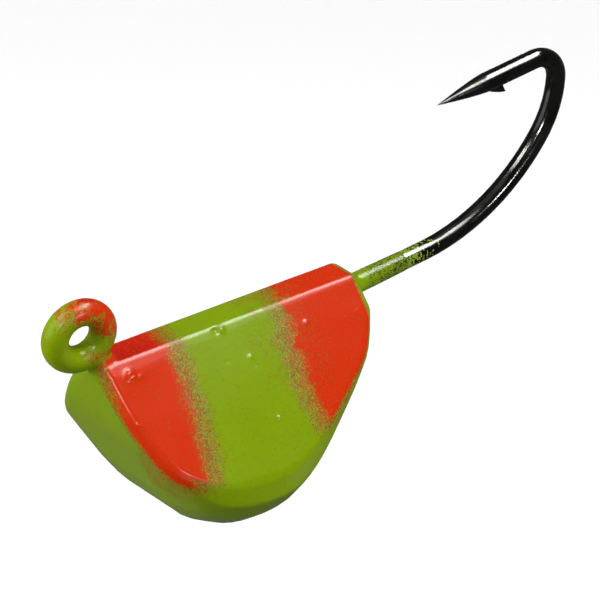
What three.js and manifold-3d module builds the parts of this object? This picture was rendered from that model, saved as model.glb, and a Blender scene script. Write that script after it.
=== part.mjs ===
// Painted jig head: a lead head cast round a one-piece jig hook, powder coated,
// with accent paint at the nose, the tail and the line eye.
//
// Units are millimetres, +Z is up. +X runs from the nose to the bend of the hook,
// and the object is symmetric about the plane y = 0 apart from the turned eye.
// The origin is the centre of the line eye, where the fishing line is tied.

import * as THREE from 'three';
import { ConvexGeometry } from 'three/addons/geometries/ConvexGeometry.js';
import { mergeVertices } from 'three/addons/utils/BufferGeometryUtils.js';
import Module from 'manifold-3d';

const wasm = await Module();
wasm.setup();

// ---------------------------------------------------------------- dimensions

const DEG = Math.PI / 180;

// Hook wire
const wireDiameter = 1.25;
const eyeRadius = 1.67;          // centreline of the eye's loop
const eyeTwist = 9 * DEG;        // the loop is turned a little about its neck
const neckLength = 3.75;         // loop to jig bend
const neckAngle = -56 * DEG;     // heading of the neck below the X axis
const jigBendRadius = 1.6;
const jigBendAngle = 61.6 * DEG; // between the neck and the shank
const shankLength = 22.5;        // jig bend to the start of the round bend
const wideBendRadius = 13.6;     // the bend tightens in three steps
const wideBendAngle = 47.3 * DEG;
const midBendRadius = 6.8;
const midBendAngle = 33.9 * DEG;
const cornerRadius = 1.7;
const cornerAngle = 99.2 * DEG;
const armLength = 4.0;           // corner to the start of the needle point
const pointLength = 4.0;
const pointTipRadius = 0.03;
const barbLength = 1.25;
const barbHeight = 0.6;          // stands proud of the wire by this much
const barbUndercut = 0.15;
const barbThickness = 0.5;
const barbSetback = 1.55;        // barb's tip to the start of the needle point

// Head, over its paint, from the top centre of the nose
const headLength = 19.4;         // flat deck
const headDepth = 13.0;          // deck to keel
const deckWidth = 2.3;
const sideLean = 38.7 * DEG;     // side faces lean out this far from vertical
const edgeRadius = 0.5;
const chineRadius = 0.95;        // largest rounding, at the middle of the chine
const noseTop = new THREE.Vector3(1.49, 0, -2.08); // from the centre of the eye

// Paint
const headCoat = 0.18;
const eyeCoat = 0.2;
const shankCoat = 0.07;
const sleeveLength = 4.6;        // coated shank behind the tail
const bandFilm = 0.06;           // accent paint
const filmGap = 0.03;            // clearance that keeps each film off what it covers
const noseBandLength = 4.3;      // at the deck
const noseBandSlant = 0.16;      // its edge runs this far forward for each mm down
const noseBandDepth = 7.4;
const frontMaskLean = 28 * DEG;  // the bare wedge down the middle of the front face
const tailBandLength = 5.5;      // at the deck
const tailBandSlant = 0.2;       // its edge runs this far forward for each mm down
const tailBandDepth = 6.2;
const endRim = 0.5;              // base coat left showing round the tail's end
const eyeBandSweep = 120 * DEG;

// Facets
const wireSides = 10;
const wireStep = 0.55;
const loopSegments = 28;

// ---------------------------------------------------------------- finishes

const finish = (color, roughness, metalness) =>
  new THREE.MeshStandardMaterial({ color, roughness, metalness });

const blackNickel = finish(0x2c2c2b, 0.25, 0.9);
const castLead = finish(0x6f7276, 0.6, 0.7);
const chartreuse = finish(0x82a500, 0.22, 0);
const fluorescentOrange = finish(0xe1320a, 0.25, 0);

// ---------------------------------------------------------------- solids

// A closed geometry as a manifold solid, by position only.
function solid(geometry) {
  const bare = geometry.index ? geometry.toNonIndexed() : geometry.clone();
  bare.deleteAttribute('normal');
  bare.deleteAttribute('uv');
  const merged = mergeVertices(bare, 1e-4);
  const vertProperties = new Float32Array(merged.attributes.position.array);
  const triVerts = new Uint32Array(merged.index.array);
  return new wasm.Manifold(new wasm.Mesh({ numProp: 3, vertProperties, triVerts }));
}

// A named mesh from a manifold solid.
function piece(name, body, material) {
  const { vertProperties, triVerts, numProp } = body.getMesh();
  const position = new Float32Array((vertProperties.length / numProp) * 3);
  for (let i = 0; i < position.length / 3; i++) {
    for (let axis = 0; axis < 3; axis++) position[3 * i + axis] = vertProperties[numProp * i + axis];
  }
  const geometry = new THREE.BufferGeometry();
  geometry.setAttribute('position', new THREE.BufferAttribute(position, 3));
  geometry.setIndex(new THREE.BufferAttribute(new Uint32Array(triVerts), 1));
  geometry.computeVertexNormals();
  const mesh = new THREE.Mesh(geometry, material);
  mesh.name = name;
  return mesh;
}

const regularPolygon = (radius, sides) =>
  Array.from({ length: sides }, (_, i) => {
    const angle = ((i + 0.5) * 2 * Math.PI) / sides;
    return new THREE.Vector2(radius * Math.cos(angle), radius * Math.sin(angle));
  });

// ---------------------------------------------------------------- hook wire

// An arc in the plane y = 0 that starts at a point with a heading and turns by an angle.
class WireArc extends THREE.Curve {
  constructor(start, heading, radius, turn) {
    super();
    Object.assign(this, { start, heading, radius, turn });
  }

  getPoint(t, target = new THREE.Vector3()) {
    const angle = this.heading + this.turn * t;
    return target.set(
      this.start.x + this.radius * (Math.sin(angle) - Math.sin(this.heading)),
      0,
      this.start.z - this.radius * (Math.cos(angle) - Math.cos(this.heading)),
    );
  }
}

// Lays straights and arcs end to end, as a wire former bends them.
class WireRoute extends THREE.CurvePath {
  constructor(start, heading) {
    super();
    this.end = start.clone();
    this.heading = heading;
  }

  straight(length) {
    const from = this.end.clone();
    this.end.addScaledVector(this.direction(), length);
    this.add(new THREE.LineCurve3(from, this.end.clone()));
    return this;
  }

  bend(radius, turn) {
    const arc = new WireArc(this.end.clone(), this.heading, radius, turn);
    this.add(arc);
    this.end = arc.getPoint(1);
    this.heading += turn;
    return this;
  }

  direction() {
    return new THREE.Vector3(Math.cos(this.heading), 0, Math.sin(this.heading));
  }
}

const wireRadius = wireDiameter / 2;
const eyeCentre = noseTop.clone().negate();
const neckDirection = new THREE.Vector3(Math.cos(neckAngle), 0, Math.sin(neckAngle));
const loopFoot = eyeCentre.clone().addScaledVector(neckDirection, eyeRadius);

const route = new WireRoute(loopFoot, neckAngle)
  .straight(neckLength)
  .bend(jigBendRadius, jigBendAngle)
  .straight(shankLength)
  .bend(wideBendRadius, wideBendAngle)
  .bend(midBendRadius, midBendAngle)
  .bend(cornerRadius, cornerAngle)
  .straight(armLength);
const pointBase = route.end.clone();
const pointDirection = route.direction();
const armDown = new THREE.Vector3(-pointDirection.z, 0, pointDirection.x);

// The loop of the eye at a given wire radius.
function eyeLoop(radius) {
  const loop = new THREE.TorusGeometry(eyeRadius, radius, wireSides, loopSegments);
  loop.rotateX(Math.PI / 2);
  loop.applyMatrix4(new THREE.Matrix4().makeRotationAxis(neckDirection, eyeTwist));
  loop.translate(eyeCentre.x, eyeCentre.y, eyeCentre.z);
  return solid(loop);
}

// The bent wire from the loop to the needle point at a given radius.
function bentWire(radius) {
  const section = new THREE.Shape(regularPolygon(radius, wireSides));
  return solid(new THREE.ExtrudeGeometry(section, {
    steps: Math.round(route.getLength() / wireStep),
    extrudePath: route,
    bevelEnabled: false,
  }));
}

// The needle point: a long, nearly straight taper.
function needlePoint() {
  const root = 0.9 * wireRadius;
  const profile = [
    new THREE.Vector2(0, -wireRadius),
    new THREE.Vector2(root, -wireRadius),
    new THREE.Vector2(0.95 * root, 0.1 * pointLength),
    new THREE.Vector2(0.69 * root, 0.4 * pointLength),
    new THREE.Vector2(0.36 * root, 0.7 * pointLength),
    new THREE.Vector2(pointTipRadius, pointLength),
    new THREE.Vector2(0, pointLength),
  ];
  const cone = new THREE.LatheGeometry(profile, wireSides);
  const turn = new THREE.Quaternion().setFromUnitVectors(new THREE.Vector3(0, 1, 0), pointDirection);
  cone.applyQuaternion(turn);
  cone.translate(pointBase.x, pointBase.y, pointBase.z);
  return solid(cone);
}

// The barb: a thin wedge raised on the gap side of the arm, its tip towards the bend.
function barb() {
  const outline = new THREE.Shape([
    new THREE.Vector2(barbUndercut, 0),
    new THREE.Vector2(barbLength, 0),
    new THREE.Vector2(barbLength, 0.9 * wireRadius),
    new THREE.Vector2(0, wireRadius + barbHeight),
    new THREE.Vector2(barbUndercut, wireRadius),
  ]);
  const wedge = new THREE.ExtrudeGeometry(outline, { depth: barbThickness, bevelEnabled: false });
  wedge.translate(0, 0, -barbThickness / 2);
  const across = new THREE.Vector3().crossVectors(pointDirection, armDown);
  const frame = new THREE.Matrix4().makeBasis(pointDirection, armDown, across);
  wedge.applyMatrix4(frame);
  const at = pointBase.clone().addScaledVector(pointDirection, -barbSetback);
  wedge.translate(at.x, at.y, at.z);
  return solid(wedge);
}

const hookSolid = eyeLoop(wireRadius)
  .add(bentWire(wireRadius))
  .add(needlePoint())
  .add(barb());

// ---------------------------------------------------------------- head

// Outline of the chine, where a side face turns under, and of the ridge and keel on
// the centre plane. Each point is a share of the head's length and of its depth.
const chineOutline = [
  [0.005, 0.07], [0.026, 0.25], [0.088, 0.465], [0.155, 0.55], [0.24, 0.605], [0.34, 0.63],
  [0.43, 0.636], [0.5, 0.63], [0.6, 0.58], [0.74, 0.465], [0.9, 0.31], [0.975, 0.16],
];
const keelOutline = [
  [-0.041, 0.07], [-0.016, 0.208], [0.057, 0.425], [0.104, 0.56], [0.15, 0.74],
  [0.225, 0.9], [0.34, 0.99], [0.46, 0.98], [0.6, 0.86], [0.74, 0.67], [0.88, 0.43], [0.985, 0.16],
];
const outlineSteps = 18;
const bilgeStations = 7;
const bilgeAngles = [25 * DEG, 50 * DEG];
const ballRows = 6;
const chineInset = 0.4;          // share of the added rounding that moves its centre inwards

const scaled = (outline) =>
  outline.map(([along, down]) => new THREE.Vector2(along * headLength, -down * headDepth));
const smooth = (outline) => new THREE.SplineCurve(scaled(outline)).getSpacedPoints(outlineSteps);

const halfWidthAt = (z) => deckWidth / 2 - z * Math.tan(sideLean);

// Height of an outline at a station along the head.
function heightAt(points, x) {
  const i = Math.max(1, points.findIndex((p) => p.x >= x));
  const [a, b] = [points[i - 1], points[i]];
  return THREE.MathUtils.lerp(a.y, b.y, (x - a.x) / (b.x - a.x));
}

// Balls whose convex hull is the head over its paint.
function headBalls() {
  const chine = smooth(chineOutline);
  const keel = smooth(keelOutline);
  const middle = new THREE.Vector2(0.45 * headLength, -0.25 * headDepth);
  const balls = [];
  const both = (x, y, z, radius = edgeRadius) => {
    for (const side of [1, -1]) balls.push({ centre: new THREE.Vector3(x, side * y, z), radius });
  };
  for (const x of [0, headLength - edgeRadius]) both(x, deckWidth / 2 - 0.6 * edgeRadius, -edgeRadius);
  chine.forEach((p, i) => {
    const swell = (chineRadius - edgeRadius) * Math.sin((Math.PI * i) / outlineSteps);
    const at = p.clone().addScaledVector(middle.clone().sub(p).normalize(), chineInset * swell);
    const radius = edgeRadius + swell;
    both(at.x, halfWidthAt(at.y) - radius / Math.cos(sideLean), at.y, radius);
  });
  for (const p of keel) {
    const z = Math.min(p.y, -2 * edgeRadius) + edgeRadius;
    balls.push({ centre: new THREE.Vector3(p.x + edgeRadius, 0, z), radius: edgeRadius });
  }
  const first = keelOutline[4][0] * headLength;
  const last = chineOutline.at(-2)[0] * headLength;
  const sideInset = edgeRadius / Math.cos(sideLean);
  for (let i = 0; i < bilgeStations; i++) {
    const x = THREE.MathUtils.lerp(first, last, i / (bilgeStations - 1));
    const top = heightAt(chine, x);
    const drop = top - heightAt(keel, x) - edgeRadius;
    for (const angle of bilgeAngles) {
      both(x, (halfWidthAt(top) - sideInset) * Math.cos(angle), top - drop * Math.sin(angle));
    }
  }
  return balls;
}

const balls = headBalls();

// The bare casting with rounded edges, grown outwards by a paint thickness.
function headBody(grow) {
  const ball = new THREE.SphereGeometry(1, 2 * ballRows, ballRows).attributes.position;
  const cloud = [];
  for (const { centre, radius } of balls) {
    for (let i = 0; i < ball.count; i++) {
      const out = new THREE.Vector3().fromBufferAttribute(ball, i);
      cloud.push(centre.clone().addScaledVector(out, radius - headCoat + grow));
    }
  }
  return solid(new ConvexGeometry(cloud));
}

const casting = headBody(0).subtract(bentWire(wireRadius + filmGap));

// ---------------------------------------------------------------- paint

// A block that spans the object's whole width, from its outline in x and z.
function slab(outline, halfWidth = 2 * headDepth) {
  const shape = new THREE.Shape(outline.map(([x, z]) => new THREE.Vector2(x, z)));
  const block = new THREE.ExtrudeGeometry(shape, { depth: 2 * halfWidth, bevelEnabled: false });
  block.rotateX(Math.PI / 2);
  block.translate(0, halfWidth, 0);
  return solid(block);
}

const far = 4 * headLength;
const sleeveEnd = headLength + sleeveLength;
const aheadOfSleeveEnd = slab([[-far, -far], [sleeveEnd, -far], [sleeveEnd, far], [-far, far]]);

// Everything that the coat covers, with the clearance, and the coat's outer face.
const covered = headBody(filmGap).add(eyeLoop(wireRadius + filmGap)).add(bentWire(wireRadius + filmGap));
const sleeve = bentWire(wireRadius + shankCoat).intersect(aheadOfSleeveEnd);
const coatFace = headBody(headCoat).add(eyeLoop(wireRadius + eyeCoat)).add(sleeve);
const coat = coatFace.subtract(covered);

// Accent film on the head, before it is cut to a band.
const filmInside = filmGap + headCoat;
const clearOfWire = eyeLoop(wireRadius + eyeCoat + filmGap).add(bentWire(wireRadius + eyeCoat));
const accentFilm = headBody(filmInside + bandFilm).subtract(headBody(filmInside)).subtract(clearOfWire);

// The accents wrap over the deck and end above the chine, so the keel stays green.
const noseBand = accentFilm.intersect(slab([
  [-far, far], [-far, -noseBandDepth],
  [noseBandLength - noseBandSlant * noseBandDepth, -noseBandDepth], [noseBandLength, 0], [noseBandLength, far],
]));
const tailEdge = headLength - tailBandLength;
const tailBand = accentFilm.intersect(slab([
  [tailEdge, far], [tailEdge, 0], [tailEdge - tailBandSlant * tailBandDepth, -tailBandDepth],
  [headLength - endRim, -tailBandDepth], [headLength - endRim, far],
]));

// The middle of the front face keeps the base coat.
function frontMask() {
  const halfWidth = noseBandDepth * Math.tan(frontMaskLean);
  const wedge = new THREE.Shape([
    new THREE.Vector2(0, -2 * edgeRadius),
    new THREE.Vector2(-halfWidth, -2 * noseBandDepth),
    new THREE.Vector2(halfWidth, -2 * noseBandDepth),
  ]);
  const block = new THREE.ExtrudeGeometry(wedge, { depth: 2 * far, bevelEnabled: false });
  block.rotateX(Math.PI / 2);
  block.rotateZ(Math.PI / 2);
  block.translate(-far, 0, 0);
  return solid(block);
}

const noseAccent = noseBand.subtract(frontMask());

// Overspray on the top of the eye's loop.
const eyeAccent = eyeLoop(wireRadius + eyeCoat + filmGap + bandFilm)
  .subtract(eyeLoop(wireRadius + eyeCoat + filmGap))
  .intersect(slab([[-far, eyeCentre.z + eyeRadius * Math.cos(eyeBandSweep / 2)],
    [far, eyeCentre.z + eyeRadius * Math.cos(eyeBandSweep / 2)], [far, far], [-far, far]]));

// ---------------------------------------------------------------- assembly

const jigHead = new THREE.Group();
jigHead.position.copy(noseTop);
jigHead.add(
  piece('hook', hookSolid, blackNickel),
  piece('head_casting', casting, castLead),
  piece('base_coat', coat, chartreuse),
  piece('nose_accent', noseAccent, fluorescentOrange),
  piece('tail_accent', tailBand, fluorescentOrange),
  piece('eye_accent', eyeAccent, fluorescentOrange),
);

export default jigHead;
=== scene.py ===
"""Painted jig head: a lead head cast round a jig hook, powder coated and oversprayed.

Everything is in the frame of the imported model: the origin is the centre of the line
eye, +X runs from the nose to the bend of the hook and +Z out of the flat deck. The
sizes below are in millimetres, and turn into metres where a mesh is made.
"""

from __future__ import annotations

import logging
import math
from dataclasses import dataclass, field
from enum import Enum
from typing import Any, Callable, Iterable, Sequence

import bmesh
import bpy
import numpy as np
from mathutils import Matrix, Quaternion, Vector

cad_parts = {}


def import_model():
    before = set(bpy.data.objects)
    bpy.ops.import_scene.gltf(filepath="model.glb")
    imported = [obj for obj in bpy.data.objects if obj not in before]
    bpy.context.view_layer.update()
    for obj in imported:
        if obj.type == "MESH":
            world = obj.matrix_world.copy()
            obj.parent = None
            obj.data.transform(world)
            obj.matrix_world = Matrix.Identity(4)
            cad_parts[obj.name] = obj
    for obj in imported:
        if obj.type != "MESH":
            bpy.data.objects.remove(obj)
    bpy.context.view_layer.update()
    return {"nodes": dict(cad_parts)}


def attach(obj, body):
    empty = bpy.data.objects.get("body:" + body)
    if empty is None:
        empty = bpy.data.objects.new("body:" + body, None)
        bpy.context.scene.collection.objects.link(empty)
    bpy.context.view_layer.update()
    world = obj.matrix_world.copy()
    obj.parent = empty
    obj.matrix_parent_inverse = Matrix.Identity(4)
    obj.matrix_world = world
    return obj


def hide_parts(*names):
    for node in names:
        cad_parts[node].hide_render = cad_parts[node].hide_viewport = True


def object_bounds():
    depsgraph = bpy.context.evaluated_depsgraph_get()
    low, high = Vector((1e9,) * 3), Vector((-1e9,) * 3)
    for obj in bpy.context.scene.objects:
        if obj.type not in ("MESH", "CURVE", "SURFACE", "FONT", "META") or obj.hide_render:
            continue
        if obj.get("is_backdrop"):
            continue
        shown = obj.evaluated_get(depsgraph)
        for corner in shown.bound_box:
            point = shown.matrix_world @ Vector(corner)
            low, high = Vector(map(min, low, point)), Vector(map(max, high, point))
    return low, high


MM = 0.001
LOG = logging.getLogger("jig_head")
NOSE_TOP = Vector((1.49, 0.0, -2.08))


# ----------------------------------------------------------------- shader maths


class MathOp(Enum):
    """Operations of the Math node that the expressions use."""

    ADD = "ADD"
    SUBTRACT = "SUBTRACT"
    MULTIPLY = "MULTIPLY"
    DIVIDE = "DIVIDE"
    POWER = "POWER"
    MAXIMUM = "MAXIMUM"
    ABSOLUTE = "ABSOLUTE"
    LESS = "LESS_THAN"


class Shade:
    """A node socket that takes part in Python expressions."""

    def __init__(self, material: "NodeMaterial", socket: bpy.types.NodeSocket) -> None:
        """Wraps a socket.

        Args:
            material: The material whose tree the socket is in.
            socket: The output socket to wrap.
        """
        self.material = material
        self.socket = socket

    def _math(self, op: MathOp, first: Any, second: Any = None, clamp: bool = False) -> "Shade":
        """Adds a Math node.

        Args:
            op: The operation.
            first: Value or Shade for the first input.
            second: Value or Shade for the second input.
            clamp: Keep the result between 0 and 1.

        Returns:
            The node's output.
        """
        inputs = {0: first} if second is None else {0: first, 1: second}
        settings = {"operation": op.value, "use_clamp": clamp}
        return self.material.node("ShaderNodeMath", settings, inputs)[0]

    def __add__(self, other: Any) -> "Shade":
        """self + other."""
        return self._math(MathOp.ADD, self, other)

    def __radd__(self, other: Any) -> "Shade":
        """other + self."""
        return self._math(MathOp.ADD, other, self)

    def __sub__(self, other: Any) -> "Shade":
        """self - other."""
        return self._math(MathOp.SUBTRACT, self, other)

    def __rsub__(self, other: Any) -> "Shade":
        """other - self."""
        return self._math(MathOp.SUBTRACT, other, self)

    def __mul__(self, other: Any) -> "Shade":
        """self * other."""
        return self._math(MathOp.MULTIPLY, self, other)

    def __rmul__(self, other: Any) -> "Shade":
        """other * self."""
        return self._math(MathOp.MULTIPLY, other, self)

    def __truediv__(self, other: Any) -> "Shade":
        """self / other."""
        return self._math(MathOp.DIVIDE, self, other)

    def __pow__(self, other: Any) -> "Shade":
        """self ** other."""
        return self._math(MathOp.POWER, self, other)

    def __lt__(self, other: Any) -> "Shade":
        """1 where self < other, else 0."""
        return self._math(MathOp.LESS, self, other)

    def __abs__(self) -> "Shade":
        """Absolute value."""
        return self._math(MathOp.ABSOLUTE, self)

    def at_least(self, other: Any) -> "Shade":
        """The larger of self and other."""
        return self._math(MathOp.MAXIMUM, self, other)

    def clamped(self) -> "Shade":
        """self held between 0 and 1."""
        return self._math(MathOp.ADD, self, 0.0, clamp=True)

    def rise(self, start: float, end: float) -> "Shade":
        """A smooth step from 0 at start to 1 at end.

        Args:
            start: Value where the step begins.
            end: Value where it is complete; below start for a falling step.

        Returns:
            The step, between 0 and 1.
        """
        low, high, first, last = (start, end, 0.0, 1.0) if end > start else (end, start, 1.0, 0.0)
        settings = {"interpolation_type": "SMOOTHSTEP"}
        inputs = {0: self, 1: low, 2: high, 3: first, 4: last}
        return self.material.node("ShaderNodeMapRange", settings, inputs)[0]


class NodeMaterial:
    """A node material for one finish, with its Principled BSDF ready."""

    def __init__(self, name: str) -> None:
        """Makes an empty material with a Principled BSDF.

        Args:
            name: The material's name.
        """
        self.material = bpy.data.materials.new(name)
        self.material.use_nodes = True
        self.tree = self.material.node_tree
        self.tree.nodes.clear()
        self.shader = self.tree.nodes.new("ShaderNodeBsdfPrincipled")
        output = self.tree.nodes.new("ShaderNodeOutputMaterial")
        self.tree.links.new(self.shader.outputs["BSDF"], output.inputs["Surface"])

    def node(self, kind: str, settings: dict[str, Any], inputs: dict[Any, Any]) -> list[Shade]:
        """Adds a node.

        Args:
            kind: The node's type.
            settings: Its properties, set before its sockets.
            inputs: Socket name or number to a value or a Shade.

        Returns:
            The node's enabled outputs.
        """
        made = self.tree.nodes.new(kind)
        for key, value in settings.items():
            setattr(made, key, value)
        for key, value in inputs.items():
            self.feed(made.inputs[key], value)
        return [Shade(self, s) for s in made.outputs if s.enabled]

    def feed(self, socket: bpy.types.NodeSocket, value: Any) -> None:
        """Links a Shade to a socket, or sets the socket's own value.

        Args:
            socket: The input socket.
            value: A Shade, a number or a colour of three numbers.
        """
        if isinstance(value, Shade):
            self.tree.links.new(value.socket, socket)
        elif socket.type == "RGBA":
            socket.default_value = (*value, 1.0)
        else:
            socket.default_value = value

    def dress(self, **sockets: Any) -> None:
        """Feeds the Principled BSDF; an underscore in a name stands for a space.

        Args:
            **sockets: Socket name to value or Shade.
        """
        for name, value in sockets.items():
            self.feed(self.shader.inputs[name.replace("_", " ")], value)

    def position(self) -> list[Shade]:
        """Reads where the surface is, in millimetres in the model's frame.

        Returns:
            The place as a vector, then its X, Y and Z.
        """
        place = self.node("ShaderNodeTexCoord", {}, {})[3]
        scaled = self.node("ShaderNodeVectorMath", {"operation": "SCALE"}, {0: place, "Scale": 1 / MM})[0]
        return [scaled, *self.node("ShaderNodeSeparateXYZ", {}, {0: scaled})]

    def facing(self) -> list[Shade]:
        """X, Y and Z of the surface's direction."""
        out = self.node("ShaderNodeNewGeometry", {}, {})[1]
        return self.node("ShaderNodeSeparateXYZ", {}, {0: out})

    def mix(self, factor: Any, low: Any, high: Any) -> Shade:
        """Mixes two colours.

        Args:
            factor: 0 gives low, 1 gives high.
            low: Colour or Shade.
            high: Colour or Shade.

        Returns:
            The mixed colour.
        """
        return self.node("ShaderNodeMix", {"data_type": "RGBA"}, {0: factor, 6: low, 7: high})[0]

    def cloud(self, vector: Shade, scale: float, detail: float = 2.0) -> Shade:
        """Soft noise between 0 and 1.

        Args:
            vector: Position in millimetres.
            scale: Waves per millimetre.
            detail: Octaves.

        Returns:
            The noise.
        """
        return self.node("ShaderNodeTexNoise", {}, {"Vector": vector, "Scale": scale, "Detail": detail})[0]

    def grains(self, vector: Shade, size: float) -> list[Shade]:
        """Random numbers that stay the same over each small grain.

        Args:
            vector: Position in millimetres.
            size: Grain size in millimetres.

        Returns:
            Three independent numbers between 0 and 1, and the distance from the grain's middle.
        """
        noise = {"Vector": vector, "Scale": 0.9 / size, "Detail": 1.0}
        wobble = self.node("ShaderNodeTexNoise", {}, noise)[1]
        nudge = self.node("ShaderNodeVectorMath", {"operation": "SCALE"}, {0: wobble, "Scale": 0.9 * size})[0]
        shaken = self.node("ShaderNodeVectorMath", {"operation": "ADD"}, {0: vector, 1: nudge})[0]
        cell = self.node("ShaderNodeTexVoronoi", {}, {"Vector": shaken, "Scale": 1 / size})
        return [*self.node("ShaderNodeSeparateColor", {}, {0: cell[1]}), cell[0]]

    def bump(self, height: Shade, depth: float) -> Shade:
        """A Bump node's normal.

        Args:
            height: Height between 0 and 1.
            depth: Height of 1, in millimetres.

        Returns:
            The normal.
        """
        inputs = {"Height": height, "Distance": depth * MM, "Strength": 1.0}
        return self.node("ShaderNodeBump", {}, inputs)[0]


# ----------------------------------------------------------------- finishes


@dataclass(frozen=True)
class PaintSpot:
    """A shaded spot of the paint: its place from the top of the nose, and the way it faces."""

    place: Shade
    x: Shade
    y: Shade
    z: Shade
    depth: Shade
    facing_x: Shade
    facing_z: Shade
    above_chine: Shade

    @classmethod
    def of(cls, m: NodeMaterial) -> "PaintSpot":
        """Reads the spot.

        Args:
            m: The paint's material.

        Returns:
            The spot; its place and z are in the part's own frame.
        """
        place, x, y, z = m.position()
        facing_x, _, facing_z = m.facing()
        depth = (z - NOSE_TOP.z) * -1.0
        return cls(place, x - NOSE_TOP.x, y, z, depth, facing_x, facing_z, facing_z.rise(-0.15, 0.42))


@dataclass(frozen=True)
class PaintFinish:
    """Glossy powder coat with a fluorescent overspray that fades out in speckles.

    Lengths run along the head from the top of the nose, and depths down from the deck.
    """

    base: tuple[float, float, float] = (0.178, 0.282, 0.0003)
    shadow_base: tuple[float, float, float] = (0.150, 0.238, 0.0003)
    accent: tuple[float, float, float] = (0.53, 0.024, 0.0008)
    # Painted shade: a darker orange for the deck near the nose, standing in for the light falling off there.
    accent_deck_shade: tuple[float, float, float] = (0.47, 0.010, 0.0005)
    grain_dark: tuple[float, float, float] = (0.13, 0.085, 0.008)
    grain_rust: tuple[float, float, float] = (0.26, 0.045, 0.003)
    grain_gold: tuple[float, float, float] = (0.40, 0.19, 0.010)
    soot: tuple[float, float, float] = (0.016, 0.018, 0.010)
    grain: float = 0.060
    roughness: float = 0.22
    fade: float = 1.25
    nose_edge: float = 4.35
    nose_bow: float = 0.0239
    nose_depths: tuple[float, float] = (8.4, 6.9)
    flank_share: float = 0.36
    flank_growth: float = 0.068
    tail_edge: float = 12.85
    tail_bow: float = 0.052
    tail_bow_depth: float = 4.2
    tail_depths: tuple[float, float] = (7.6, 6.0)
    tail_rim: float = 18.75
    spray_end: float = 18.9
    drift_from: float = 9.2
    drift_to: float = 14.5
    soot_from: float = 17.4
    soot_fade: float = 7.4
    sleeve_from: float = 20.3

    def _nose(self, spot: PaintSpot, wander: Shade) -> tuple[Shade, Shade]:
        """Sprays the nose; on the front the spray only reaches round the near edges.

        Args:
            spot: The shaded spot.
            wander: Slow noise about 0 that bends the edge of the band.

        Returns:
            The cover between 0 and 1, and the place along the head where the band ends.
        """
        x, depth = spot.x, spot.depth
        line = (depth * depth) * -self.nose_bow + self.nose_edge + wander * 0.9
        half_width = (depth * 0.8 + 1.15).at_least(0.6)
        share = depth * self.flank_growth + self.flank_share
        flank = (abs(spot.y) / half_width - share).rise(-0.26, 0.18)
        front = spot.facing_x.rise(-0.20, -0.42)
        far_side = spot.y.rise(0.3, 0.9) * (x - 0.2).rise(1.6, 0.4)
        cover = (line - x).rise(-self.fade * 1.5, self.fade) * (1.0 - far_side)
        cover = cover * (1.0 - front * (1.0 - flank)) * spot.above_chine.at_least(front * flank)
        on_deck = spot.facing_z.rise(0.8, 0.95)
        return cover * (x + on_deck * -0.75).rise(-1.6, 0.25) * depth.rise(*self.nose_depths), line

    def _tail(self, spot: PaintSpot, wander: Shade) -> Shade:
        """Sprays the tail, up to the bare green rim of its end.

        Args:
            spot: The shaded spot.
            wander: Slow noise about 0 that bends the edge of the band.

        Returns:
            The cover between 0 and 1.
        """
        lean = spot.depth - self.tail_bow_depth
        line = lean * lean * self.tail_bow + self.tail_edge + wander * 0.8
        rim = (spot.x - self.tail_rim).rise(0.0, 0.35).at_least(spot.facing_x.rise(0.35, 0.6))
        cover = (spot.x - line).rise(-self.fade * 1.5, self.fade * 0.9)
        return cover * (1.0 - rim) * spot.above_chine * spot.depth.rise(*self.tail_depths)

    def _ring(self, m: NodeMaterial, spot: PaintSpot) -> Shade:
        """Sprays the top and back of the line eye, and a little of its low limb.

        Args:
            m: The material.
            spot: The shaded spot.

        Returns:
            The cover between 0 and 1.
        """
        from_eye = spot.x + NOSE_TOP.x
        lean = from_eye * 0.55 + spot.z * 0.83
        mottle = m.cloud(spot.place, 1.1, 3.0) - 0.5
        low_limb = spot.z.rise(-0.6, -1.4) * from_eye.rise(-0.4, 0.8) * 0.5
        return ((lean + mottle * 5.0).rise(-0.1, 2.1) * 0.85 + 0.05).at_least(low_limb)

    def _dust(self, m: NodeMaterial, spot: PaintSpot, nose_line: Shade) -> tuple[Shade, Shade]:
        """Scatters loose dots of the overspray.

        Args:
            m: The material.
            spot: The shaded spot.
            nose_line: Where the nose band ends along the head.

        Returns:
            The share of the surface that the dots cover, and how far the spot lies in the drift
            ahead of the tail band.
        """
        x, depth = spot.x, spot.depth
        drift = (x - self.drift_from).rise(0.0, 4.2) * (x - self.drift_to).rise(1.0, 0.0)
        drift = drift * depth.rise(7.0, 0.5)
        patches = m.cloud(spot.place, 0.9, 2.0).rise(0.42, 0.68)
        loose = drift * patches * 0.34 + drift * 0.03 + 0.006
        halo = (nose_line - x).rise(-2.6, 0.0) * (x - nose_line).rise(-1.0, 0.0) * 0.10
        low = depth.rise(4.4, 7.2) * depth.rise(9.6, 8.2) * (x - 4.2).rise(0.0, -3.5)
        return (loose + halo) * spot.above_chine + low * spot.y.rise(-1.8, -3.0) * 0.26, drift

    def build(self) -> bpy.types.Material:
        """Makes the paint.

        Returns:
            The material.
        """
        m = NodeMaterial("powder_coat_paint")
        spot = PaintSpot.of(m)
        wander = m.cloud(spot.place, 0.55, 3.0) - 0.5
        first, second, third, _ = m.grains(spot.place, self.grain)
        on_head = spot.depth.rise(-0.45, -0.2)
        nose, nose_line = self._nose(spot, wander)
        dust, drift = self._dust(m, spot, nose_line)
        cover = (nose.at_least(self._tail(spot, wander)) + dust) * on_head
        cover = cover.at_least(self._ring(m, spot) * (1.0 - on_head))
        cover = (cover * (1.0 - (spot.x - self.spray_end).rise(0.0, 0.6))).clamped()
        edge = cover.rise(0.02, 0.25) * cover.rise(0.985, 0.6)

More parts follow.
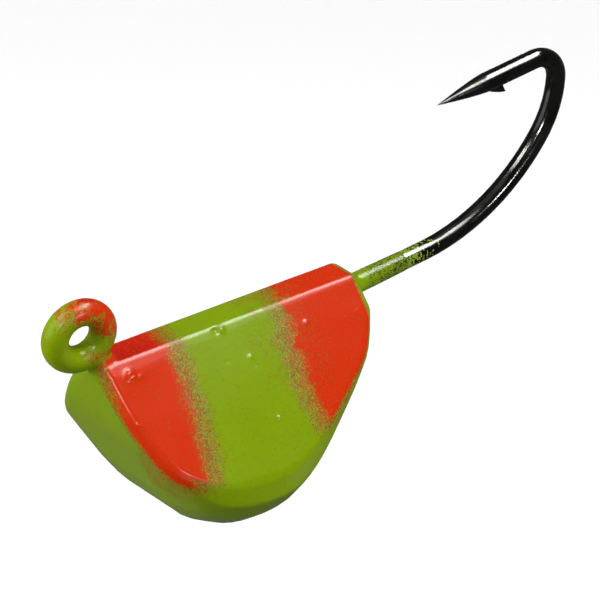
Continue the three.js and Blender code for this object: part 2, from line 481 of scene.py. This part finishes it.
        shaded = m.cloud(spot.place, 0.35, 1.0).rise(0.25, 0.75) * 0.25 + spot.facing_z.rise(0.0, -0.7) * 0.35
        ground = m.mix(shaded, self.base, self.shadow_base)
        # Painted shade: the up-facing deck near the nose takes the darker orange.
        warm = m.mix(spot.facing_z.rise(0.85, 0.97) * spot.x.rise(9.0, 3.0), self.accent, self.accent_deck_shade)
        warm = m.mix(cover.rise(0.95, 0.45) * 0.75, warm, self.grain_rust)
        warm = m.mix(third.rise(0.75, 0.95) * edge, warm, self.grain_gold)
        colour = m.mix((cover * 1.12 - 0.02 - first).rise(-0.04, 0.04), ground, warm)

        dusty = (second < (edge * 0.42 + drift * 0.14 + 0.03)) * on_head
        grain_colour = m.mix(third.rise(0.72, 0.85) * edge, self.grain_dark, self.grain_gold)
        colour = m.mix(dusty * 0.75, colour, grain_colour)
        bare = second < ((spot.x - self.soot_from).rise(0.0, self.soot_fade) * 0.62)
        bare = bare * (spot.x - self.sleeve_from).rise(0.0, 0.6)
        colour = m.mix(bare * 0.92, colour, self.soot)

        skin = m.cloud(spot.place, 1.6, 2.0) * 0.35 + first * edge * 0.35 + bare * 0.3
        m.dress(Base_Color=colour, Roughness=edge * 0.10 + dusty * 0.06 + self.roughness)
        m.dress(Normal=m.bump(skin, 0.012), IOR=1.5, Specular_IOR_Level=0.15)
        return m.material


@dataclass(frozen=True)
class NickelFinish:
    """Polished black nickel, with the paint's last flecks where the coat on the shank runs out."""

    dark: tuple[float, float, float] = (0.032, 0.032, 0.030)
    light: tuple[float, float, float] = (0.062, 0.061, 0.057)
    fleck: tuple[float, float, float] = (0.17, 0.27, 0.005)
    grain: float = 0.11
    flecks_from: float = 24.6
    flecks_to: float = 28.6

    def build(self) -> bpy.types.Material:
        """Makes the plating.

        Returns:
            The material.
        """
        m = NodeMaterial("black_nickel")
        place, x, _, z = m.position()
        first, second, _, _ = m.grains(place, self.grain)
        fade = x.rise(self.flecks_to, self.flecks_from) * z.rise(1.0, 0.0)
        fleck = first < (fade ** 1.4 * 0.9)
        haze = m.cloud(place, 0.8, 3.0)
        metal = m.mix(haze.rise(0.3, 0.7), self.dark, self.light)
        colour = m.mix(fleck, metal, self.fleck)
        scratch = m.cloud(place, 9.0, 2.0)
        m.dress(Base_Color=colour, Metallic=1.0 - fleck)
        m.dress(Roughness=haze * 0.06 + second * fleck * 0.1 + 0.11)
        m.dress(Normal=m.bump(scratch * 0.5 + fleck, 0.010))
        return m.material


@dataclass(frozen=True)
class LeadFinish:
    """Dull cast lead with a grainy skin."""

    light: tuple[float, float, float] = (0.20, 0.205, 0.215)
    dark: tuple[float, float, float] = (0.11, 0.113, 0.12)

    def build(self) -> bpy.types.Material:
        """Makes the lead.

        Returns:
            The material.
        """
        m = NodeMaterial("cast_lead")
        place = m.position()[0]
        grain = m.cloud(place, 2.5, 4.0)
        m.dress(Base_Color=m.mix(grain, self.dark, self.light), Metallic=0.85, Roughness=grain * 0.3 + 0.4)
        m.dress(Normal=m.bump(grain, 0.03))
        return m.material


@dataclass(frozen=True)
class BackdropFinish:
    """Plain pale paper for the floor."""

    tone: float = 0.99

    def build(self) -> bpy.types.Material:
        """Makes the paper.

        Returns:
            The material.
        """
        m = NodeMaterial("pale_paper")
        place = m.position()[0]
        fibre = m.cloud(place, 0.4, 3.0)
        low = (self.tone - 0.01,) * 3
        m.dress(Base_Color=m.mix(fibre, low, (self.tone,) * 3), Roughness=0.9)
        return m.material


# ----------------------------------------------------------------- mesh tools


def mesh_object(name: str, mesh: bmesh.types.BMesh) -> bpy.types.Object:
    """Turns a bmesh in millimetres into an object in metres.

    Args:
        name: The object's name.
        mesh: The bmesh, which is freed.

    Returns:
        The object, linked to the scene.
    """
    mesh.transform(Matrix.Scale(MM, 4))
    data = bpy.data.meshes.new(name)
    mesh.to_mesh(data)
    mesh.free()
    made = bpy.data.objects.new(name, data)
    bpy.context.scene.collection.objects.link(made)
    return made


def apply_modifier(piece: bpy.types.Object, kind: str, **settings: Any) -> None:
    """Adds a modifier with its settings and applies it.

    Args:
        piece: The object to change.
        kind: The modifier's type.
        **settings: Its properties.
    """
    modifier = piece.modifiers.new(kind.lower(), kind)
    for key, value in settings.items():
        setattr(modifier, key, value)
    with bpy.context.temp_override(object=piece, active_object=piece):
        bpy.ops.object.modifier_apply(modifier=modifier.name)


def vertex_arrays(piece: bpy.types.Object) -> tuple[np.ndarray, np.ndarray]:
    """Reads a piece's vertices.

    Args:
        piece: The object to read.

    Returns:
        Places in millimetres and directions, one row per vertex.
    """
    count = len(piece.data.vertices)
    places, normals = np.empty(count * 3, np.float32), np.empty(count * 3, np.float32)
    piece.data.vertices.foreach_get("co", places)
    piece.data.vertices.foreach_get("normal", normals)
    return places.reshape(-1, 3).astype(float) / MM, normals.reshape(-1, 3).astype(float)


def set_places(piece: bpy.types.Object, places: np.ndarray) -> None:
    """Moves a piece's vertices.

    Args:
        piece: The object to change.
        places: New places in millimetres, one row per vertex.
    """
    piece.data.vertices.foreach_set("co", (places * MM).astype(np.float32).ravel())
    piece.data.update()


def swell(piece: bpy.types.Object, amount: float) -> None:
    """Moves every vertex along its own direction.

    Args:
        piece: The object to change.
        amount: Distance in millimetres, negative to shrink.
    """
    places, normals = vertex_arrays(piece)
    set_places(piece, places + normals * amount)


def ring_sweep(
    mesh: bmesh.types.BMesh,
    centres: Sequence[Vector],
    radii: Sequence[float],
    sides: int,
    closed: bool = False,
) -> None:
    """Sweeps round rings along a path that lies in a plane y = constant.

    Args:
        mesh: The bmesh that gets the tube.
        centres: The path.
        radii: The tube's radius at each centre.
        sides: Points in each ring.
        closed: Join the last ring to the first instead of capping both ends.
    """
    rings = []
    count = len(centres)
    for i, centre in enumerate(centres):
        before = centres[i - 1] if i or closed else centre
        after = centres[(i + 1) % count] if i + 1 < count or closed else centre
        along = (after - before).normalized()
        side = Vector((0.0, 1.0, 0.0))
        side = (side - along * side.dot(along)).normalized()
        up = side.cross(along)
        ring = []
        for k in range(sides):
            angle = 2 * math.pi * k / sides
            ring.append(mesh.verts.new(centre + (side * math.cos(angle) + up * math.sin(angle)) * radii[i]))
        rings.append(ring)
    spans = count if closed else count - 1
    for i in range(spans):
        low, high = rings[i], rings[(i + 1) % count]
        for k in range(sides):
            n = (k + 1) % sides
            mesh.faces.new((low[k], low[n], high[n], high[k]))
    if not closed:
        mesh.faces.new(rings[0][::-1])
        mesh.faces.new(rings[-1])


def smooth_line(points: Sequence[tuple[float, float]], steps: int) -> list[Vector]:
    """Passes a smooth line through a few points in x and z, and spaces it evenly.

    Args:
        points: The points.
        steps: How many equal steps to cut the line into.

    Returns:
        The points of the line, at y = 0.
    """
    fine = []
    last = len(points) - 1
    for i in range(last):
        a, b, c, d = (Vector(points[max(0, min(last, i + k))]) for k in (-1, 0, 1, 2))
        for j in range(12):
            t = j / 12
            cubic = (3 * b - a - 3 * c + d) * t**3
            fine.append(0.5 * (2 * b + (c - a) * t + (2 * a - 5 * b + 4 * c - d) * t**2 + cubic))
    fine.append(Vector(points[-1]))
    lengths = [0.0]
    for a, b in zip(fine, fine[1:]):
        lengths.append(lengths[-1] + (b - a).length)
    line = []
    k = 0
    for i in range(steps + 1):
        target = lengths[-1] * i / steps
        while k < len(lengths) - 2 and lengths[k + 1] < target:
            k += 1
        share = (target - lengths[k]) / max(1e-9, lengths[k + 1] - lengths[k])
        p = fine[k].lerp(fine[k + 1], min(1.0, share))
        line.append(Vector((p.x, 0.0, p.y)))
    return line


# ----------------------------------------------------------------- hook


@dataclass
class HookWire:
    """The bent hook wire: line eye, neck, shank, bend, arm, barb and needle point.

    bends holds the radius and the turn in degrees of each arc, from the jig bend to the corner
    before the arm. barb_outline holds places along the arm from the barb's root, out from the
    wire's centre, and half the barb's thickness there.
    """

    wire_radius: float = 0.625
    eye_radius: float = 1.67
    eye_twist: float = 9.0
    neck_length: float = 3.75
    neck_heading: float = -56.0
    bends: tuple[tuple[float, float], ...] = ((1.6, 61.6), (13.6, 47.3), (6.8, 33.9), (1.7, 99.2))
    shank_length: float = 22.5
    arm_length: float = 4.0
    point_length: float = 4.0
    barb_setback: float = 1.55
    barb_outline: tuple[tuple[float, float, float], ...] = (
        (0.34, 0.45, 0.30), (0.33, 0.62, 0.26), (0.22, 0.86, 0.17), (-0.02, 1.27, 0.03), (0.14, 1.24, 0.06),
        (0.50, 1.10, 0.13), (0.90, 0.90, 0.20), (1.30, 0.70, 0.24), (1.52, 0.5, 0.22), (1.52, 0.35, 0.22),
    )
    tip_radius: float = 0.012
    point_steps: int = 40
    eye_steps: int = 96
    step: float = 0.14
    sides: int = 40
    path: list[Vector] = field(default_factory=list)

    def __post_init__(self) -> None:
        """Lays the wire's path from the loop to the start of the needle point."""
        heading = math.radians(self.neck_heading)
        self.neck_direction = Vector((math.cos(heading), 0.0, math.sin(heading)))
        at = self.neck_direction * self.eye_radius
        self.path.append(at.copy())
        at = self._straight(at, heading, self.neck_length)
        for i, (radius, turn) in enumerate(self.bends):
            at, heading = self._arc(at, heading, radius, math.radians(turn))
            if i == 0:
                at = self._straight(at, heading, self.shank_length)
        at = self._straight(at, heading, self.arm_length)
        self.point_base = at
        self.point_direction = Vector((math.cos(heading), 0.0, math.sin(heading)))

    def _straight(self, start: Vector, heading: float, length: float) -> Vector:
        """Adds a straight to the path.

        Args:
            start: Where it starts.
            heading: Its direction in radians.
            length: Its length.

        Returns:
            Its end.
        """
        ahead = Vector((math.cos(heading), 0.0, math.sin(heading)))
        count = max(1, round(length / self.step))
        self.path.extend(start + ahead * (length * i / count) for i in range(1, count + 1))
        return self.path[-1].copy()

    def _arc(self, start: Vector, heading: float, radius: float, turn: float) -> tuple[Vector, float]:
        """Adds an arc to the path.

        Args:
            start: Where it starts.
            heading: Direction at its start in radians.
            radius: Radius of the wire's centreline.
            turn: Angle in radians.

        Returns:
            Its end and the direction there.
        """
        count = max(4, round(radius * turn / self.step))
        for i in range(1, count + 1):
            angle = heading + turn * i / count
            across = Vector((math.sin(angle) - math.sin(heading), 0.0, math.cos(heading) - math.cos(angle)))
            self.path.append(start + across * radius)
        return self.path[-1].copy(), heading + turn

    def loop(self, mesh: bmesh.types.BMesh, radius: float, sides: int) -> None:
        """Adds the line eye's loop to a bmesh.

        Args:
            mesh: The bmesh.
            radius: Radius of the loop's wire.
            sides: Points round the wire.
        """
        before = set(mesh.verts)
        ring = []
        for i in range(self.eye_steps):
            angle = 2 * math.pi * i / self.eye_steps
            ring.append(Vector((math.cos(angle), 0.0, math.sin(angle))) * self.eye_radius)
        ring_sweep(mesh, ring, [radius] * self.eye_steps, sides, closed=True)
        turn = Quaternion(self.neck_direction, math.radians(self.eye_twist)).to_matrix().to_4x4()
        bmesh.ops.transform(mesh, matrix=turn, verts=[v for v in mesh.verts if v not in before])

    def tube(
        self, mesh: bmesh.types.BMesh, radius_at: Callable[[float], float], until: float, sides: int
    ) -> None:
        """Adds the first part of the wire to a bmesh.

        Args:
            mesh: The bmesh.
            radius_at: Radius of the tube at a place along X.
            until: X where the tube ends, on the shank.
            sides: Points round the tube.
        """
        turned = next(i for i, p in enumerate(self.path) if p.x > until)
        part = self.path[:turned]
        ring_sweep(mesh, part, [radius_at(p.x) for p in part], sides)

    def _point_radius(self, share: float) -> float:
        """Radius of the needle point, as a long, nearly straight taper.

        Args:
            share: 0 at its base, 1 at its tip.

        Returns:
            The radius.
        """
        return max(self.tip_radius, self.wire_radius * (1 - share**1.3) ** 1.05)

    def _barb(self, mesh: bmesh.types.BMesh) -> None:
        """Adds the barb, a chip raised from the arm with its tip towards the bend.

        Args:
            mesh: The bmesh.
        """
        ahead = self.point_direction
        down = Vector((-ahead.z, 0.0, ahead.x))
        origin = self.point_base - ahead * self.barb_setback
        sides = []
        for sign in (-1.0, 1.0):
            ring = []
            for along, out, half in self.barb_outline:
                aside = Vector((0.0, sign * half, 0.0))
                ring.append(mesh.verts.new(origin + ahead * along + down * out + aside))
            sides.append(ring)
        left, right = sides
        mesh.faces.new(left)
        mesh.faces.new(right[::-1])
        count = len(self.barb_outline)
        for i in range(count):
            n = (i + 1) % count
            mesh.faces.new((left[n], left[i], right[i], right[n]))

    def build(self) -> bpy.types.Object:
        """Makes the hook as one smooth mesh.

        Returns:
            The hook.
        """
        mesh = bmesh.new()
        centres, radii = list(self.path), [self.wire_radius] * len(self.path)
        for i in range(1, self.point_steps + 1):
            ahead = self.point_length * i / self.point_steps
            centres.append(self.point_base + self.point_direction * ahead)
            radii.append(self._point_radius(i / self.point_steps))
        ring_sweep(mesh, centres, radii, self.sides)
        self.loop(mesh, self.wire_radius, self.sides)
        self._barb(mesh)
        bmesh.ops.recalc_face_normals(mesh, faces=mesh.faces)
        return mesh_object("hook_wire", mesh)


# ----------------------------------------------------------------- painted head


@dataclass(frozen=True)
class PaintFlaw:
    """A bump or a pit in the paint, at a place measured from the top of the nose."""

    x: float
    y: float
    z: float
    radius: float
    height: float
    crater: float = 0.0


@dataclass
class PaintedHead:
    """The coated head with the coated line eye and the coated start of the shank.

    chine and keel are outlines as shares of the head's length and of its depth below the deck.
    """

    hook: HookWire
    length: float = 19.4
    depth: float = 13.0
    deck_width: float = 2.3
    side_lean: float = 38.7
    edge_radius: float = 0.5
    chine_round: float = 0.45
    crown: float = 0.13
    eye_coat: float = 0.24
    shank_coat: float = 0.07
    sleeve_end: float = 25.45
    thinnest_coat: float = 0.02
    voxel: float = 0.105
    fillet: float = 0.22
    smoothing: int = 6
    wire_sides: int = 32
    outline_steps: int = 40
    stations: int = 20
    arch_degrees: tuple[float, ...] = (15, 32, 49, 66)
    middle: tuple[float, float] = (0.45, -0.25)
    waviness: float = 0.006
    crown_at: tuple[float, float] = (9.0, 4.6)
    chine: tuple[tuple[float, float], ...] = (
        (0.005, 0.07), (0.026, 0.25), (0.088, 0.465), (0.155, 0.55), (0.24, 0.605), (0.34, 0.63),
        (0.43, 0.636), (0.5, 0.63), (0.6, 0.58), (0.74, 0.465), (0.9, 0.31), (0.975, 0.16),
    )
    keel: tuple[tuple[float, float], ...] = (
        (-0.041, 0.07), (-0.016, 0.208), (0.057, 0.425), (0.104, 0.56), (0.15, 0.74), (0.225, 0.9),
        (0.34, 0.99), (0.46, 0.98), (0.6, 0.86), (0.74, 0.67), (0.88, 0.43), (0.985, 0.16),
    )
    flaws: tuple[PaintFlaw, ...] = (
        PaintFlaw(1.05, -1.84, -0.78, 0.30, 0.26, 0.30),
        PaintFlaw(1.68, -2.01, -0.99, 0.17, 0.07),
        PaintFlaw(8.05, -1.30, -0.15, 0.18, -0.20),
        PaintFlaw(8.42, -1.36, -0.22, 0.20, 0.12),
        PaintFlaw(9.59, -2.78, -1.96, 0.15, 0.11),
        PaintFlaw(9.82, -5.37, -5.18, 0.15, 0.11),
        PaintFlaw(14.39, -2.28, -1.32, 0.15, 0.11),
        PaintFlaw(18.25, -2.54, -1.65, 0.09, 0.05),
        PaintFlaw(0.3, -3.6, -3.2, 0.11, 0.06),
        PaintFlaw(7.84, -2.64, -1.77, 0.09, -0.06),
        PaintFlaw(7.94, -5.17, -4.93, 0.09, -0.06),
        PaintFlaw(9.61, -3.17, -2.43, 0.10, -0.05),
    )

    def _half_width(self, z: float) -> float:
        """Half the width between the side faces at a height.

        Args:
            z: Height, 0 at the deck and negative below it.

        Returns:
            Half the width.
        """
        return self.deck_width / 2 - z * math.tan(math.radians(self.side_lean))

    def _outline(self, shares: Sequence[tuple[float, float]]) -> list[Vector]:
        """Turns an outline in shares into an evenly spaced line.

        Args:
            shares: The outline.

        Returns:
            Its points, with the deck at z = 0.
        """
        points = [(along * self.length, -down * self.depth) for along, down in shares]
        return smooth_line(points, self.outline_steps)

    def _centres(self) -> Iterable[tuple[Vector, float]]:
        """Yields the centres and radii of the balls whose hull is the head."""
        chine, keel = self._outline(self.chine), self._outline(self.keel)
        middle = Vector((self.middle[0] * self.length, 0.0, self.middle[1] * self.depth))
        r = self.edge_radius
        inset = r / math.cos(math.radians(self.side_lean))
        flanks = []
        for x in (0.0, self.length - r):
            flanks.append((Vector((x, self.deck_width / 2 - 0.6 * r, -r)), r))
        for i, p in enumerate(chine):
            reach = r + self.chine_round * math.sin(math.pi * i / (len(chine) - 1))
            at = p + (middle - p).normalized() * (reach - r) * 0.4
            wide = self._half_width(at.z) - reach / math.cos(math.radians(self.side_lean))
            flanks.append((Vector((at.x, wide, at.z)), reach))
        first, last = self.keel[4][0] * self.length, self.chine[-2][0] * self.length
        for i in range(self.stations + 1):
            x = first + (last - first) * i / self.stations
            top, low = (self._height(line, x) for line in (chine, keel))
            drop = top - low - r
            for degrees in self.arch_degrees:
                angle = math.radians(degrees)
                wide = (self._half_width(top) - inset) * math.cos(angle)
                flanks.append((Vector((x, wide, top - drop * math.sin(angle))), r))
        for p, reach in flanks:
            yield p, reach
            yield Vector((p.x, -p.y, p.z)), reach
        for p in keel:
            yield Vector((p.x + r, 0.0, min(p.z, -2 * r) + r)), r

    @staticmethod
    def _height(line: Sequence[Vector], x: float) -> float:
        """Height of an outline at a station along the head.

        Args:
            line: The outline.
            x: The station.

        Returns:
            The height.
        """
        i = next((k for k, p in enumerate(line) if k and p.x >= x), len(line) - 1)
        a, b = line[i - 1], line[i]
        return a.z + (b.z - a.z) * (x - a.x) / (b.x - a.x)

    def _body(self, mesh: bmesh.types.BMesh) -> None:
        """Adds the head's rounded body.

        Args:
            mesh: The bmesh.
        """
        ball = bmesh.new()
        bmesh.ops.create_icosphere(ball, subdivisions=2, radius=1.0)
        offsets = [v.co.copy() for v in ball.verts]
        ball.free()
        cloud = bmesh.new()
        for centre, radius in self._centres():
            for offset in offsets:
                cloud.verts.new(centre + offset * radius + NOSE_TOP)
        hull = bmesh.ops.convex_hull(cloud, input=cloud.verts)
        keep = {g for g in hull["geom"] if isinstance(g, bmesh.types.BMVert)}
        bmesh.ops.delete(cloud, geom=[v for v in cloud.verts if v not in keep], context="VERTS")
        loose = [v for v in cloud.verts if not v.link_faces]
        bmesh.ops.delete(cloud, geom=loose, context="VERTS")
        copies = {v: mesh.verts.new(v.co) for v in cloud.verts}
        for face in cloud.faces:
            mesh.faces.new([copies[v] for v in face.verts])
        cloud.free()

    def _mark_flaws(self, piece: bpy.types.Object) -> None:
        """Raises the bumps and sinks the pits of the paint, and lets it run a little unevenly.

        Args:
            piece: The painted skin.
        """
        places, normals = vertex_arrays(piece)
        local = places - np.array(NOSE_TOP)
        waves = np.sin(local @ np.array([0.9, 0.5, 0.7])) * np.sin(local @ np.array([-0.4, 0.8, 1.1]) + 0.6)
        rise = self.waviness * waves
        lean = math.radians(self.side_lean)
        facing = np.abs(normals[:, 1]) * math.cos(lean) + normals[:, 2] * math.sin(lean)
        along, down = self.crown_at
        spread = ((local[:, 0] - along) / along) ** 2 + ((local[:, 2] / math.cos(lean) + down) / down) ** 2
        on_side = np.clip((facing - 0.9) / 0.08, 0.0, 1.0) * (local[:, 2] < -0.05)
        rise += on_side * self.crown * np.clip(1.0 - spread, 0.0, 1.0) ** 2
        for flaw in self.flaws:
            gap = np.linalg.norm(local - np.array([flaw.x, flaw.y, flaw.z]), axis=1) / flaw.radius
            rise += flaw.height * np.exp(-gap * gap) - flaw.crater * np.exp(-((2.4 * gap) ** 2))
        set_places(piece, places + normals * rise[:, None])

    def _coated_radius(self, x: float) -> float:
        """Radius of the coated wire.

        Args:
            x: Place along X.

        Returns:
            The radius: thick at the neck, thin along the shank and thinnest at the sleeve's end.
        """
        if x < NOSE_TOP.x + 3:
            return self.hook.wire_radius + self.eye_coat
        start = NOSE_TOP.x + self.length + 2.0
        share = max(0.0, (x - start) / (self.sleeve_end - start))
        lost = (self.shank_coat - self.thinnest_coat) * min(1.0, share)
        return self.hook.wire_radius + self.shank_coat - lost

    def build(self) -> bpy.types.Object:
        """Makes the painted skin as one mesh, with paint filling the corners.

        Returns:
            The skin.
        """
        mesh = bmesh.new()
        self._body(mesh)
        self.hook.loop(mesh, self.hook.wire_radius + self.eye_coat, self.wire_sides)
        self.hook.tube(mesh, self._coated_radius, self.sleeve_end, self.wire_sides)
        bmesh.ops.recalc_face_normals(mesh, faces=mesh.faces)
        skin = mesh_object("paint_skin", mesh)
        apply_modifier(skin, "REMESH", mode="VOXEL", voxel_size=self.voxel * MM)
        swell(skin, self.fillet)
        apply_modifier(skin, "REMESH", mode="VOXEL", voxel_size=self.voxel * MM)
        swell(skin, -self.fillet)
        apply_modifier(skin, "SMOOTH", factor=0.5, iterations=self.smoothing)
        self._mark_flaws(skin)
        return skin


# ----------------------------------------------------------------- studio


class Reach(Enum):
    """What a light reaches: matt shading, mirror images or both."""

    BOTH = (True, True)
    SHADING = (True, False)
    MIRROR = (False, True)


@dataclass
class SoftLight:
    """An area light that faces the part, placed by its angles in degrees and sized in metres."""

    name: str
    azimuth: float
    elevation: float
    distance: float
    width: float
    height: float
    watts: float
    reach: Reach = Reach.BOTH

    def place(self, aim: Vector) -> None:
        """Puts the light round a point.

        Args:
            aim: The point it faces.
        """
        data = bpy.data.lights.new(self.name, "AREA")
        data.shape = "RECTANGLE"
        data.size, data.size_y, data.energy = self.width, self.height, self.watts
        a, e = math.radians(self.azimuth), math.radians(self.elevation)
        out = Vector((math.sin(a) * math.cos(e), -math.cos(a) * math.cos(e), math.sin(e)))
        lamp = bpy.data.objects.new(self.name, data)
        lamp.location = aim + out * self.distance
        lamp.rotation_euler = (-out).to_track_quat("-Z", "Y").to_euler()
        lamp.visible_diffuse, lamp.visible_glossy = self.reach.value
        bpy.context.scene.collection.objects.link(lamp)


@dataclass
class Studio:
    """Pale floor, soft lights and the camera, all in metres."""

    azimuth: float = -38.0
    elevation: float = 28.4
    distance: float = 0.4
    lens: float = 384.0
    shift: tuple[float, float] = (0.0131, -0.0221)
    aim: tuple[float, float, float] = (0.01649, 0.0, -0.00208)
    floor_drop: float = 0.06
    floor_size: float = 1.2
    surroundings: float = 0.13
    lights: tuple[SoftLight, ...] = (
        SoftLight("ceiling", 0.0, 88.0, 0.55, 0.50, 0.50, 0.40),
        SoftLight("top_fill", 30.0, 62.0, 0.50, 0.25, 0.25, 2.40, Reach.SHADING),
        SoftLight("left_fill", -115.0, 12.0, 0.50, 0.40, 0.40, 3.60, Reach.SHADING),
        SoftLight("front_fill", -10.0, -4.0, 0.50, 0.30, 0.20, 1.30, Reach.SHADING),
        SoftLight("low_fill", 60.0, -35.0, 0.50, 0.25, 0.25, 1.90, Reach.SHADING),
        SoftLight("edge_strip", 72.0, 60.0, 0.50, 0.34, 0.13, 4.80, Reach.MIRROR),
        SoftLight("point_card", 35.0, 74.0, 0.50, 0.12, 0.06, 0.55, Reach.MIRROR),
        SoftLight("glow_card", 33.0, 51.0, 0.50, 0.26, 0.14, 0.52, Reach.MIRROR),
        SoftLight("shank_card", 20.0, 62.0, 0.50, 0.14, 0.14, 0.85, Reach.MIRROR),
        SoftLight("bend_card", -95.0, 52.0, 0.50, 0.30, 0.10, 2.40, Reach.MIRROR),
        SoftLight("left_card", -108.0, 12.0, 0.50, 0.40, 0.40, 0.78, Reach.MIRROR),
        SoftLight("ring_left", -51.0, 25.0, 0.50, 0.06, 0.06, 1.50, Reach.MIRROR),
        SoftLight("ring_low", 5.0, 16.0, 0.50, 0.06, 0.05, 0.90, Reach.MIRROR),
    )

    def build(self) -> None:
        """Makes the floor, the lights, the surroundings and the camera."""
        lo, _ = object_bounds()
        mesh = bmesh.new()
        bmesh.ops.create_grid(mesh, x_segments=8, y_segments=8, size=self.floor_size / MM)
        bmesh.ops.translate(mesh, vec=(0.0, 0.0, (lo.z - self.floor_drop) / MM), verts=mesh.verts)
        floor = mesh_object("paper_floor", mesh)
        floor.data.materials.append(BackdropFinish().build())
        floor.visible_glossy = floor.visible_diffuse = False
        floor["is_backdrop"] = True
        aim = Vector(self.aim)
        for light in self.lights:
            light.place(aim)
        world = bpy.data.worlds.new("studio")
        world.use_nodes = True
        background = world.node_tree.nodes["Background"]
        background.inputs["Color"].default_value = (1.0, 1.0, 1.0, 1.0)
        background.inputs["Strength"].default_value = self.surroundings
        bpy.context.scene.world = world
        bpy.context.scene.view_settings.view_transform = "Standard"
        self._camera(aim)

    def _camera(self, aim: Vector) -> None:
        """Makes the camera.

        Args:
            aim: The point that it is turned to.
        """
        data = bpy.data.cameras.new("camera")
        data.lens, data.sensor_width = self.lens, 36.0
        data.shift_x, data.shift_y = self.shift
        data.clip_start, data.clip_end = 0.01, 10.0
        a, e = math.radians(self.azimuth), math.radians(self.elevation)
        back = Vector((math.sin(a) * math.cos(e), -math.cos(a) * math.cos(e), math.sin(e)))
        camera = bpy.data.objects.new("camera", data)
        camera.location = aim + back * self.distance
        camera.rotation_euler = (-back).to_track_quat("-Z", "Y").to_euler()
        bpy.context.scene.collection.objects.link(camera)
        bpy.context.scene.camera = camera


# ----------------------------------------------------------------- assembly


def finish_piece(piece: bpy.types.Object, material: bpy.types.Material, slot: str, *nodes: str) -> None:
    """Dresses a new piece, puts it on the part and hides the CAD nodes that it stands for.

    Args:
        piece: The piece.
        material: Its material.
        slot: The record's material slot; not used.
        *nodes: The CAD nodes that it stands for.
    """
    piece.data.materials.clear()
    piece.data.materials.append(material)
    for face in piece.data.polygons:
        face.use_smooth = True
    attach(piece, "root")
    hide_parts(*nodes)
    LOG.info("%s: %d vertices, stands for %s", piece.name, len(piece.data.vertices), ", ".join(nodes))


def main() -> None:
    logging.basicConfig(level=logging.INFO, format="%(name)s %(message)s")
    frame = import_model()
    hook = HookWire()
    head = PaintedHead(hook)
    wire = hook.build()
    finish_piece(wire, NickelFinish().build(), "hook_wire", "hook")
    skin = head.build()
    paint = PaintFinish().build()
    finish_piece(skin, paint, "base_paint", "base_coat", "nose_accent", "tail_accent", "eye_accent")
    casting = frame["nodes"]["head_casting"]
    casting.data.materials.clear()
    casting.data.materials.append(LeadFinish().build())
    LOG.info("head_casting: kept, in cast lead")
    Studio().build()
    bpy.context.view_layer.update()


if __name__ == "__main__":
    main()
